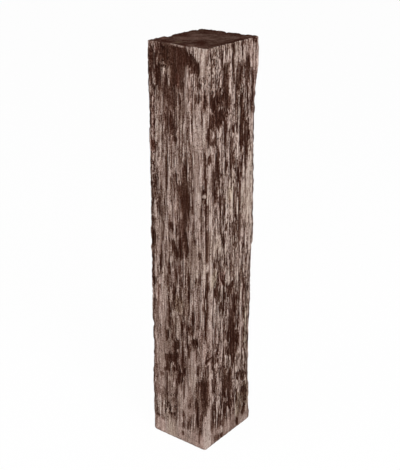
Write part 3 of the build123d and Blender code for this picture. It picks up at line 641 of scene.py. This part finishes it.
def layGrain(net):
    # how deep the grain goes and how worn it is, with what the finish reads of it
    up = net.up
    parts = zip(post["streakParts"], ("fine", "medium", "broad"))
    streak = sum(share * softNoise(name, net.swept, up) for share, name in parts)
    dashes = ease((softNoise("dashes", net.swept, up) - post["dashShare"]) / 0.15)
    fields = readMarks(net)
    smoothTo, grainedFrom = post["footSmooth"]
    footSkin = ease((grainedFrom - up) / (grainedFrom - smoothTo))
    grain = 1 - (1 - post["smoothGrain"]) * np.maximum(fields["smoothed"], footSkin)

    deep = ribs(net.around, up) + post["streakDepth"] * (0.5 + (0.5 - streak) * grain) + fields["cut"]
    deep += post["dashDepth"] * dashes * grain
    deep = np.maximum(deep - post["crestHeight"] * fields["crest"], 0.02)
    deep *= 0.5 + 0.5 * ease(up / post["footFlat"])
    deep *= 1 - 0.6 * ease((up - height) / post["rimFlat"] + 1)

    streaks, flecked, dashed = [np.array(tone[name])[net.side] for name in ("streaks", "flecks", "dashes")]
    shown = streaks * grain * (1 - (1 - tone["hollowStreaks"]) * fields["hollow"])
    fields["streaky"] = shown / tone["streaks"][0]
    speckled = tone["stillFlecks"] + (1 - tone["stillFlecks"]) * fields["streaky"]
    worn = tone["base"] + shown * 2 * (streak - 0.5) + tone["clouds"] * swing("clouds", net.around, up)
    worn += (flecked * swing("flecks", net.swept, up) - dashed * dashes) * speckled
    worn += tone["crest"] * fields["crest"] - tone["hollow"] * fields["hollow"]
    paleFrom, paleFull = tone["rimPaleBand"]
    rim = ease((up - height + paleFrom) / (paleFrom - paleFull))
    fields["worn"] = worn + tone["rimPale"] * rim * (1 - 0.4 * fields["hollow"])
    return deep, fields


def setOut(net, deep):
    # each side is set out as if it were the front one, then turned to its place
    halfLength = net.length / 2
    halfOther = np.array(sideLengths)[net.side - 1] / 2
    x = np.where(net.corner, halfLength - net.fromEnd - deep * np.sin(net.turn), net.flatPlace - halfLength)
    y = np.where(net.corner, net.fromSide - halfOther + deep * np.cos(net.turn), deep - halfOther)
    cosine, sine = np.array([(1, 0), (0, 1), (-1, 0), (0, -1)])[net.side].T
    xs = (x * cosine - y * sine) * (1 - 2 * net.inset / width)
    ys = (x * sine + y * cosine) * (1 - 2 * net.inset / depth)
    return xs, ys


def grainPlaces(net):
    # places on a round of the same girth, so that the finish follows the grain through the corners
    radius = girth / (2 * np.pi)
    angle = net.swept / radius
    return np.stack([radius * np.cos(angle), radius * np.sin(angle), net.up], axis=2)


def sawnEnd(xs, ys, level):
    # rings of points from the rim in over the sawn end, each nearer to its middle
    slopeShares = [0.35, 0.7, 1]
    rings = []
    for share in slopeShares:
        inset = post["endSlope"] * share
        fall = ease(share) * post["endDish"]
        rings.append((xs * (1 - 2 * inset / width), ys * (1 - 2 * inset / depth),
                      level * (1 - share) + (height - post["rimNick"] / 2) * share - fall))
    lastX, lastY, lastZ = rings[-1]
    count = post["endRings"] - len(slopeShares)
    for ring in range(1, count + 1):
        keep = 1 - ring / (count + 0.4)
        x, y = lastX * keep, lastY * keep
        across = (0.61 * x - 0.79 * y) / (post["sawMarkPitch"] / (2 * np.pi))
        saw = np.sin(across + np.sin(0.11 * x + 0.07 * y))
        rings.append((x, y, lastZ * keep + np.mean(lastZ) * (1 - keep) + post["sawMarkDepth"] * saw))
    return rings


def endTones(across, back):
    # how worn and how red the sawn end is, darker towards its rim
    worn, tint = np.zeros(len(across)), np.zeros(len(across))
    for middleX, middleY, wide, deep, turn, paler, redder in endMarks:
        cosine, sine = math.cos(math.radians(turn)), math.sin(math.radians(turn))
        offX, offY = across - middleX, back - middleY
        along = (offX * cosine + offY * sine) / wide
        aside = (offY * cosine - offX * sine) / deep
        inside = np.exp(-along ** 2 - aside ** 2)
        worn += paler * inside
        tint += redder * inside
    outward = np.maximum(np.abs(across) / width, np.abs(back) / depth) * 2
    return worn - tone["endEdge"] * ease((outward - 0.86) / 0.1), tint


def postFaces(loops, columns):
    # quads up the sides and in over the sawn end, triangles round its middle, and the foot
    first = np.arange(loops - 1)[:, None] * columns
    this = np.arange(columns)[None, :]
    after = (this + 1) % columns
    quads = np.stack([first + this, first + after, first + columns + after, first + columns + this], axis=2)
    faces = quads.reshape(-1, 4).tolist()
    last, tip = (loops - 1) * columns, loops * columns
    faces += [[last + at, last + (at + 1) % columns, tip] for at in range(columns)]
    faces.append(list(range(columns))[::-1])
    return faces


def addAttribute(mesh, name, values, kind="FLOAT", key="value"):
    attribute = mesh.attributes.new(name, kind, "POINT")
    attribute.data.foreach_set(key, values.astype(np.float32).reshape(-1))


def buildPost(materials):
    net = makeNet()
    deep, fields = layGrain(net)
    xs, ys = setOut(net, deep)
    level = nickedLevels(net)
    rows, columns = xs.shape
    rings = sawnEnd(xs[-1], ys[-1], level[-1])
    middle = (0, 0, np.mean(rings[-1][2]))
    sidePoints = np.stack([xs, ys, level], axis=2).reshape(-1, 3)
    endPoints = np.concatenate([np.stack(ring, axis=1) for ring in rings] + [[middle]])
    # nothing stands out of the box of the cast post
    least, most = [1000 * np.array([*corner[:2], 0]) for corner in (lowest, highest)]
    most[2] = height
    points = np.clip(np.concatenate([sidePoints, endPoints]), least, most)
    endPoints = points[len(sidePoints):]
    mesh = bpy.data.meshes.new("grainedPost")
    mesh.from_pydata((points / 1000).tolist(), [], postFaces(rows + len(rings), columns))
    mesh.validate()
    mesh.update()
    mesh.calc_loop_triangles()
    piece = bpy.data.objects.new("grainedPost", mesh)
    scene.collection.objects.link(piece)
    for material in materials:
        mesh.materials.append(material)
    slots = np.zeros(len(mesh.polygons), int)
    slots[(rows - 1) * columns:] = 1  # the sawn end
    slots[-1] = 2  # the foot
    mesh.polygons.foreach_set("material_index", slots)
    mesh.polygons.foreach_set("use_smooth", np.ones(len(mesh.polygons), bool))

    plain = np.zeros(len(endPoints))
    endWorn, endTint = endTones(endPoints[:, 0], endPoints[:, 1])
    atEnd = {"worn": endWorn, "pitted": plain, "streaky": plain, "tint": endTint}
    for name, values in atEnd.items():
        addAttribute(mesh, name, np.concatenate([fields[name].reshape(-1), values]))
    places = np.concatenate([grainPlaces(net).reshape(-1, 3), endPoints]) / 1000
    addAttribute(mesh, "grainPlace", places, "FLOAT_VECTOR", "vector")
    print("post: %d points, %d triangles" % (len(points), len(mesh.loop_triangles)))
    return piece


# Finishes. Colours run from the brown left in the hollows to the worn crests.
patina = [
    (0.0, (0.019, 0.0052, 0.0026)),
    (0.15, (0.034, 0.0112, 0.0062)),
    (0.35, (0.085, 0.045, 0.0325)),
    (0.52, (0.16, 0.1, 0.079)),
    (0.7, (0.25, 0.175, 0.146)),
    (0.86, (0.352, 0.264, 0.229)),
    (1.0, (0.5, 0.398, 0.352)),
]
sawnPatina = [(0.0, (0.024, 0.0065, 0.0035)), (0.35, (0.055, 0.0265, 0.0195)), (0.7, (0.115, 0.072, 0.057))]
footPatina = [(0.05, (0.1, 0.066, 0.053)), (0.25, (0.17, 0.118, 0.097)), (0.45, (0.25, 0.18, 0.152))]
grainFinish = {
    "streakMix": 1.45,  # fine streaks that the mesh can't carry
    "fleckMix": 0.6,
    "fleckFade": 3,  # the higher, the faster flecks fade where there are few streaks
    "lineMix": 0.36,
    "lineThickness": 0.055,
    "gritMix": 1.7,
    "smoothGrit": 0.4,  # share of the grit on smooth skin and in the hollows
    "pitMix": 0.6,
    "strayPits": 0.5,  # how broken the skin is where it is at its soundest
    "clouds": 0.9,
    "streakBump": 0.0016,
    "gritBump": 0.0008,
    "roughness": (0.72, 0.93),
    "shine": 0.03,
}
sawnFinish = {
    "middle": 0.36,
    "bandMix": 1.1,
    "lineMix": 2.1,
    "markMix": 0.8,
    "gritMix": 1.4,
    "pitMix": 0.1,
    "clouds": 1.2,
    "sawTurn": -0.655,  # radians round from straight across the post
    "sawBump": 0.0008,
    "gritBump": 0.0005,
    "roughness": (0.78, 0.94),
    "shine": 0.0,
}


def addNode(tree, kind, location, **settings):
    node = tree.nodes.new(kind)
    node.location = location
    for name, value in settings.items():
        setattr(node, name, value)
    return node


def feed(tree, socket, value):
    # a plain value is set on the socket, and an output is linked to it
    if isinstance(value, bpy.types.NodeSocket):
        tree.links.new(value, socket)
    else:
        socket.default_value = value


def compute(tree, operation, location, *values, clamp=False):
    node = addNode(tree, "ShaderNodeMath", location, operation=operation, use_clamp=clamp)
    for socket, value in zip(node.inputs, values):
        feed(tree, socket, value)
    return node.outputs[0]


def stretchedNoise(tree, place, scale, detail, roughness, location, distortion=0.0):
    mapping = addNode(tree, "ShaderNodeMapping", location)
    mapping.inputs["Scale"].default_value = scale
    tree.links.new(place, mapping.inputs["Vector"])
    noise = addNode(tree, "ShaderNodeTexNoise", (location[0] + 200, location[1]))
    noise.inputs["Scale"].default_value = 1
    noise.inputs["Detail"].default_value = detail
    noise.inputs["Roughness"].default_value = roughness
    noise.inputs["Distortion"].default_value = distortion
    tree.links.new(mapping.outputs[0], noise.inputs["Vector"])
    return noise.outputs["Fac"]


def newGroup(name, inputs, outputs):
    group = bpy.data.node_groups.new(name, "ShaderNodeTree")
    for way, sockets in (("INPUT", inputs), ("OUTPUT", outputs)):
        for label, kind in sockets.items():
            group.interface.new_socket(name=label, in_out=way, socket_type="NodeSocket" + kind)
    return group, addNode(group, "NodeGroupInput", (-900, 0)), addNode(group, "NodeGroupOutput", (700, 0))


def makeGrainStreaks():
    # thin streaks up the grain and short flecks, centred on 0, and dark ring lines, 0 to 1
    group, start, end = newGroup(
        "grainStreaks",
        {"Place": "Vector", "Thickness": "Float"},
        {"Streaks": "Float", "Lines": "Float", "Flecks": "Float"},
    )
    place = start.outputs["Place"]
    thin = stretchedNoise(group, place, (820, 820, 45), 1, 0.6, (-650, 350), 0.3)
    wide = stretchedNoise(group, place, (520, 520, 26), 4, 0.85, (-650, 50), 0.5)
    both = compute(group, "ADD", (-150, 250), thin, wide)
    feed(group, end.inputs["Streaks"], compute(group, "SUBTRACT", (50, 250), both, 1.0))

    lines = []
    for scale, at in (((210, 210, 5), -250), ((360, 360, 9), -550)):
        rings = stretchedNoise(group, place, scale, 1, 0.4, (-650, at), 0.2)
        off = compute(group, "SUBTRACT", (-250, at), rings, 0.5)
        away = compute(group, "ABSOLUTE", (-100, at), off)
        near = compute(group, "DIVIDE", (50, at), away, start.outputs["Thickness"])
        lines.append(compute(group, "SUBTRACT", (200, at), 1.0, near, clamp=True))
    broken = stretchedNoise(group, place, (260, 260, 40), 2, 0.6, (-650, -850))
    kept = compute(group, "SUBTRACT", (-250, -850), broken, 0.38)
    kept = compute(group, "MULTIPLY", (-50, -850), kept, 6.0, clamp=True)
    either = compute(group, "MAXIMUM", (350, -400), *lines)
    feed(group, end.inputs["Lines"], compute(group, "MULTIPLY", (500, -400), either, kept))

    short = stretchedNoise(group, place, (680, 680, 210), 2, 0.7, (-650, -1100), 0.2)
    feed(group, end.inputs["Flecks"], compute(group, "SUBTRACT", (500, -700), short, 0.5))
    return group


def makeConcreteGrit():
    # sandy grain of the cast skin, centred on 0, and small pits where the skin is broken
    group, start, end = newGroup(
        "concreteGrit",
        {"Place": "Vector", "Strength": "Float", "Broken": "Float"},
        {"Grit": "Float", "Pits": "Float"},
    )
    grit = stretchedNoise(group, start.outputs["Place"], (560, 560, 430), 2, 0.8, (-650, 250))
    centred = compute(group, "SUBTRACT", (-200, 250), grit, 0.5)
    strong = compute(group, "MULTIPLY", (0, 250), centred, start.outputs["Strength"])
    feed(group, end.inputs["Grit"], strong)

    specks = stretchedNoise(group, start.outputs["Place"], (430, 430, 230), 2, 0.5, (-650, -150))
    more = compute(group, "MULTIPLY", (-450, -400), start.outputs["Broken"], 0.16)
    edge = compute(group, "SUBTRACT", (-250, -400), 0.74, more)
    inside = compute(group, "SUBTRACT", (-100, -150), specks, edge)
    feed(group, end.inputs["Pits"], compute(group, "MULTIPLY", (50, -150), inside, 14.0, clamp=True))
    return group


def makeSawMarks():
    # bands and fine lines that the saw leaves over the end, centred on 0
    group, start, end = newGroup("sawMarks", {"Place": "Vector"}, {"Bands": "Float", "Lines": "Float"})
    turned = addNode(group, "ShaderNodeMapping", (-700, 0))
    turned.inputs["Rotation"].default_value = (0, 0, sawnFinish["sawTurn"])
    feed(group, turned.inputs["Vector"], start.outputs["Place"])
    bands = stretchedNoise(group, turned.outputs[0], (26, 190, 60), 4, 0.6, (-450, 150), 0.6)
    lines = stretchedNoise(group, turned.outputs[0], (170, 700, 200), 3, 0.7, (-450, -150), 0.4)
    feed(group, end.inputs["Bands"], compute(group, "SUBTRACT", (300, 150), bands, 0.5))
    feed(group, end.inputs["Lines"], compute(group, "SUBTRACT", (300, -150), lines, 0.5))
    return group


def makePatinaTint():
    # turns a colour a little to pink or to olive, by a tint from -1 to 1 and soft clouds
    group, start, end = newGroup(
        "patinaTint",
        {"Place": "Vector", "Colour": "Color", "Tint": "Float", "Clouds": "Float"},
        {"Colour": "Color"},
    )
    soft = stretchedNoise(group, start.outputs["Place"], (34, 34, 12), 2, 0.5, (-700, -150))
    centred = compute(group, "SUBTRACT", (-250, -150), soft, 0.5)
    clouds, tint = start.outputs["Clouds"], start.outputs["Tint"]
    lean = compute(group, "MULTIPLY_ADD", (-50, -150), centred, clouds, tint)
    colour = start.outputs["Colour"]
    pink, olive = (1.13, 0.94, 0.92, 1), (0.97, 1.0, 0.78, 1)
    for sign, hue, at in ((1.0, pink, 150), (-1.0, olive, -350)):
        amount = compute(group, "MULTIPLY", (200, at), lean, sign, clamp=True)
        mix = addNode(group, "ShaderNodeMix", (420, at), data_type="RGBA", blend_type="MULTIPLY")
        for socket, value in ((0, amount), (6, colour), (7, hue)):  # factor and the two colours
            feed(group, mix.inputs[socket], value)
        colour = mix.outputs[2]
    feed(group, end.inputs["Colour"], colour)
    return group


groups = {
    "streaks": makeGrainStreaks(),
    "grit": makeConcreteGrit(),
    "sawMarks": makeSawMarks(),
    "tint": makePatinaTint(),
}


def placeGroup(tree, name, location, **values):
    node = addNode(tree, "ShaderNodeGroup", location, node_tree=groups[name])
    for label, value in values.items():
        feed(tree, node.inputs[label], value)
    return node.outputs


def newMaterial(name):
    material = bpy.data.materials.new(name)
    material.use_nodes = True
    tree = material.node_tree
    tree.nodes.clear()
    out = addNode(tree, "ShaderNodeOutputMaterial", (1400, 0))
    shader = addNode(tree, "ShaderNodeBsdfPrincipled", (1100, 0))
    tree.links.new(shader.outputs[0], out.inputs["Surface"])
    return material, tree, shader


def attributes(tree, *names):
    nodes = [addNode(tree, "ShaderNodeAttribute", (-1400, 600 - 200 * row), attribute_name=name)
             for row, name in enumerate(names)]
    return [node.outputs["Fac"] for node in nodes]


def layered(tree, value, layers):
    # textures added to a value, each by its own amount, and the sum kept from 0 to 1
    for row, (texture, amount) in enumerate(layers):
        last = row == len(layers) - 1
        value = compute(tree, "MULTIPLY_ADD", (-750 + 170 * row, 200), texture, amount, value, clamp=last)
    return value


def patinaRamp(tree, value, stops, location):
    ramp = addNode(tree, "ShaderNodeValToRGB", location)
    marks = ramp.color_ramp.elements
    marks.remove(marks[-1])
    marks[0].position = stops[0][0]
    marks[0].color = (*stops[0][1], 1)
    for position, colour in stops[1:]:
        marks.new(position).color = (*colour, 1)
    tree.links.new(value, ramp.inputs[0])
    return ramp.outputs[0]


def dress(tree, shader, finish, place, value, stops, tint, reliefs):
    # the worn value gives the colour and the roughness, and the reliefs are bumps over each other
    colour = patinaRamp(tree, value, stops, (150, 200))
    hue = placeGroup(tree, "tint", (550, 200), Place=place, Colour=colour, Tint=tint,
                     Clouds=finish["clouds"])
    tree.links.new(hue["Colour"], shader.inputs["Base Color"])
    rough = addNode(tree, "ShaderNodeMapRange", (550, -100))
    rough.inputs["To Min"].default_value, rough.inputs["To Max"].default_value = finish["roughness"]
    tree.links.new(value, rough.inputs["Value"])
    tree.links.new(rough.outputs[0], shader.inputs["Roughness"])
    shader.inputs["Specular IOR Level"].default_value = finish["shine"]
    below = None
    for row, (relief, distance) in enumerate(reliefs):
        bump = addNode(tree, "ShaderNodeBump", (350 + 250 * row, -400))
        bump.inputs["Distance"].default_value = distance
        tree.links.new(relief, bump.inputs["Height"])
        if below:
            tree.links.new(below, bump.inputs["Normal"])
        below = bump.outputs[0]
    tree.links.new(below, shader.inputs["Normal"])


def makeGrainedConcrete():
    finish = grainFinish
    material, tree, shader = newMaterial("grainedConcrete")
    place = addNode(tree, "ShaderNodeTexCoord", (-1400, 800)).outputs["Object"]
    grainPlace = addNode(tree, "ShaderNodeAttribute", (-1400, -300), attribute_name="grainPlace")
    worn, streaky, broken, tint = attributes(tree, "worn", "streaky", "pitted", "tint")
    grain = placeGroup(tree, "streaks", (-1100, 100), Place=grainPlace.outputs["Vector"],
                       Thickness=finish["lineThickness"])
    streaks = compute(tree, "MULTIPLY_ADD", (-900, 100), grain["Lines"], -finish["lineMix"],
                      grain["Streaks"])
    streakAmount = compute(tree, "MULTIPLY", (-950, 500), streaky, finish["streakMix"])
    faded = compute(tree, "POWER", (-1100, 700), streaky, finish["fleckFade"])
    fleckAmount = compute(tree, "MULTIPLY", (-950, 700), faded, finish["fleckMix"])
    gritStrength = compute(tree, "MULTIPLY_ADD", (-1150, -150), streaky, 1 - finish["smoothGrit"],
                           finish["smoothGrit"], clamp=True)
    morePits = compute(tree, "ADD", (-1150, -400), broken, finish["strayPits"])
    grit = placeGroup(tree, "grit", (-950, -200), Place=place, Strength=gritStrength, Broken=morePits)
    value = layered(tree, worn, [
        (streaks, streakAmount), (grit["Grit"], finish["gritMix"]),
        (grain["Flecks"], fleckAmount), (grit["Pits"], -finish["pitMix"]),
    ])
    skin = compute(tree, "SUBTRACT", (150, -600), grit["Grit"], grit["Pits"])
    reliefs = ((streaks, finish["streakBump"]), (skin, finish["gritBump"]))
    dress(tree, shader, finish, place, value, patina, tint, reliefs)
    return material


def makeSawnConcrete(name, stops):
    finish = sawnFinish
    material, tree, shader = newMaterial(name)
    place = addNode(tree, "ShaderNodeTexCoord", (-1400, 800)).outputs["Object"]
    worn, broken, tint = attributes(tree, "worn", "pitted", "tint")
    saw = placeGroup(tree, "sawMarks", (-1000, 300), Place=place)
    grit = placeGroup(tree, "grit", (-1000, -200), Place=place, Strength=1.0, Broken=broken)
    value = layered(tree, finish["middle"], [
        (saw["Bands"], finish["bandMix"]), (saw["Lines"], finish["lineMix"]), (worn, finish["markMix"]),
        (grit["Grit"], finish["gritMix"]), (grit["Pits"], -finish["pitMix"]),
    ])
    reliefs = ((saw["Bands"], finish["sawBump"]), (grit["Grit"], finish["gritBump"]))
    dress(tree, shader, finish, place, value, stops, tint, reliefs)
    return material


finishes = [
    makeGrainedConcrete(),
    makeSawnConcrete("sawnConcrete", sawnPatina),
    makeSawnConcrete("footConcrete", footPatina),
]
print("finishes: %d materials, %d node groups" % (len(finishes), len(groups)))

grainedPost = buildPost(finishes)
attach(grainedPost, "root")
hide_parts("palisade_post")

studio = {
    "floorSize": 30.0,
    "floorGrey": 0.82,
    "floorLift": 0.97,  # share of the floor's own white that the camera sees
    "skyStrength": 0.42,
    "lampAim": (0, 0, 0.3),
    "lamps": {  # place, size and power
        "keyLamp": ((2.1, -0.9, 1.7), 1.3, 74),
        "fillLamp": ((-1.3, -2.2, 1.2), 1.6, 33),
    },
}


def cameraWhite(tree, share, dim, white, surface):
    # white for the camera, a reflection or a see-through ray, and the dim shader for other light
    path = addNode(tree, "ShaderNodeLightPath", (-700, 300)).outputs
    seen = compute(tree, "MAXIMUM", (-500, 300), path["Is Camera Ray"], path["Is Glossy Ray"])
    seen = compute(tree, "MAXIMUM", (-300, 300), seen, path["Is Transmission Ray"])
    mix = addNode(tree, "ShaderNodeMixShader", (300, 0))
    feed(tree, mix.inputs[0], compute(tree, "MULTIPLY", (0, 300), seen, share))
    feed(tree, mix.inputs[1], dim.outputs[0])
    feed(tree, mix.inputs[2], white.outputs[0])
    feed(tree, surface, mix.outputs[0])


def makeFloor():
    size = studio["floorSize"] / 2
    corners = [(-size, -size, 0), (size, -size, 0), (size, size, 0), (-size, size, 0)]
    mesh = bpy.data.meshes.new("studioFloor")
    mesh.from_pydata(corners, [], [(0, 1, 2, 3)])
    floor = bpy.data.objects.new("studioFloor", mesh)
    scene.collection.objects.link(floor)
    material = bpy.data.materials.new("paleFloor")
    material.use_nodes = True
    tree = material.node_tree
    tree.nodes.clear()
    out = addNode(tree, "ShaderNodeOutputMaterial", (700, 0))
    plain = addNode(tree, "ShaderNodeBsdfDiffuse", (0, 100))
    plain.inputs["Color"].default_value = (studio["floorGrey"],) * 3 + (1,)
    white = addNode(tree, "ShaderNodeEmission", (0, -100))
    cameraWhite(tree, studio["floorLift"], plain, white, out.inputs["Surface"])
    mesh.materials.append(material)


def makeLamp(name, place, size, power):
    lamp = bpy.data.lights.new(name, "AREA")
    lamp.shape = "SQUARE"
    lamp.size = size
    lamp.energy = power
    holder = bpy.data.objects.new(name, lamp)
    holder.location = place
    aim = Vector(studio["lampAim"]) - Vector(place)
    holder.rotation_euler = aim.to_track_quat("-Z", "Y").to_euler()
    scene.collection.objects.link(holder)


def makeSky():
    world = bpy.data.worlds.new("studioSky")
    scene.world = world
    world.use_nodes = True
    tree = world.node_tree
    tree.nodes.clear()
    out = addNode(tree, "ShaderNodeOutputWorld", (600, 0))
    sky = addNode(tree, "ShaderNodeBackground", (0, 100))
    sky.inputs["Strength"].default_value = studio["skyStrength"]
    white = addNode(tree, "ShaderNodeBackground", (0, -100))
    for shade in (sky, white):
        shade.inputs["Color"].default_value = (1, 1, 1, 1)
    cameraWhite(tree, 1.0, sky, white, out.inputs["Surface"])


makeFloor()
for name, (place, size, power) in studio["lamps"].items():
    makeLamp(name, place, size, power)
makeSky()

view = {
    "place": (0.7561, -0.99178, 0.81905),
    "turn": 37.527,  # degrees round from the front
    "down": 21.941,
    "roll": 0.171,
    "lens": 71.2,
}


def makeCamera():
    turn, down, roll = [math.radians(view[name]) for name in ("turn", "down", "roll")]
    back = Vector((math.sin(turn) * math.cos(down), -math.cos(turn) * math.cos(down), math.sin(down)))
    right = (-back).cross(Vector((0, 0, 1))).normalized()
    above = right.cross(-back)
    tiltedRight = right * math.cos(roll) + above * math.sin(roll)
    tiltedUp = above * math.cos(roll) - right * math.sin(roll)
    lens = bpy.data.cameras.new("studioCamera")
    lens.lens = view["lens"]
    lens.sensor_width = 36
    camera = bpy.data.objects.new("studioCamera", lens)
    turned = Matrix((tiltedRight, tiltedUp, back)).transposed().to_4x4()
    camera.matrix_world = Matrix.Translation(view["place"]) @ turned
    scene.collection.objects.link(camera)
    scene.camera = camera


makeCamera()
scene.view_settings.view_transform = "Standard"
print("studio: floor, %d lamps, sky and camera" % len(studio["lamps"]))
